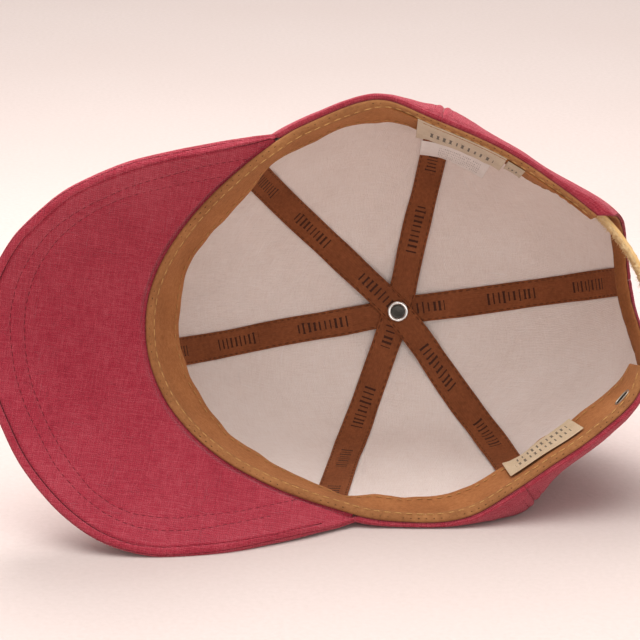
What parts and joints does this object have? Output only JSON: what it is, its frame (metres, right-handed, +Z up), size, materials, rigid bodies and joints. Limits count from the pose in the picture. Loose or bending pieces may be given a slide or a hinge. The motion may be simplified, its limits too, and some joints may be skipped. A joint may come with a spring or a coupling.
{
  "type": "six-panel cap",
  "caption": "Soft six-panel cap with curved visor, taped lining, sweatband and an adjustable back strap, lying on its side with the opening forward.",
  "frame": {"origin": "middle of the closing box at its base, on the surface the cap lies on", "axes": "+Z up from the surface; the cap lies on the wearer's right side with the head opening towards -Y and the visor towards -X. The crown axis runs from the opening to the top button along (0, 0.956, -0.292); the wearer's left is roughly +Z. To wear it upright, turn the crown axis to +Z."},
  "size_m": [0.2676, 0.1708, 0.1615],
  "materials": {
    "linen": "woven linen, dusty raspberry red",
    "lining": "plain natural cotton",
    "tape": "printed seam tape, brown",
    "suede": "brushed tan-brown",
    "binding": "folded, satin",
    "board": "plain moulded sheet",
    "leather": "golden tan, smooth outside, raw inside",
    "steel": "satin",
    "label": "woven cream label",
    "satin": "satin"
  },
  "bodies": {
    "cap": {"back_panel_left": "linen", "side_panel_left": "linen", "front_panel_left": "linen", "front_panel_right": "linen", "side_panel_right": "linen", "back_panel_right": "linen", "visor_top_cover": "linen", "visor_under_cover": "linen", "clasp_tab": "linen", "top_button": "linen", "back_lining_left": "lining", "side_lining_left": "lining", "front_lining_left": "lining", "front_lining_right": "lining", "side_lining_right": "lining", "back_lining_right": "lining", "seam_tape_front_back": "tape", "seam_tape_left_side": "tape", "seam_tape_right_side": "tape", "back_arch_binding": "tape", "sweatband": "suede", "sweatband_binding": "binding", "visor_board": "board", "clasp_frame": "steel", "clasp_pin": "steel", "slot_eyelet": "steel", "rivet": "steel", "brand_label": "label", "origin_label": "label", "size_label": "label"},
    "strap": {"strap": "leather"},
    "clasp_lever": {"clasp_lever": "steel"},
    "care_label": {"care_label": "satin"}
  },
  "joints": [
    {"name": "strap_adjust", "type": "hinge", "parent": "cap", "child": "strap", "pos_m": [0.05345, -0.02285, 0.0618], "axis": [0, 0.9563, -0.2924], "range_deg": [0, 6]},
    {"name": "clasp_lever_open", "type": "hinge", "parent": "cap", "child": "clasp_lever", "pos_m": [0.13224, -0.02617, 0.05095], "axis": [0, -0.9563, 0.2924], "range_deg": [0, 100]},
    {"name": "care_label_flap", "type": "hinge", "parent": "cap", "child": "care_label", "pos_m": [0.04948, 0.0184, 0.13347], "axis": [-0.9455, 0.0952, 0.3113], "range_deg": [0, 60]}
  ]
}
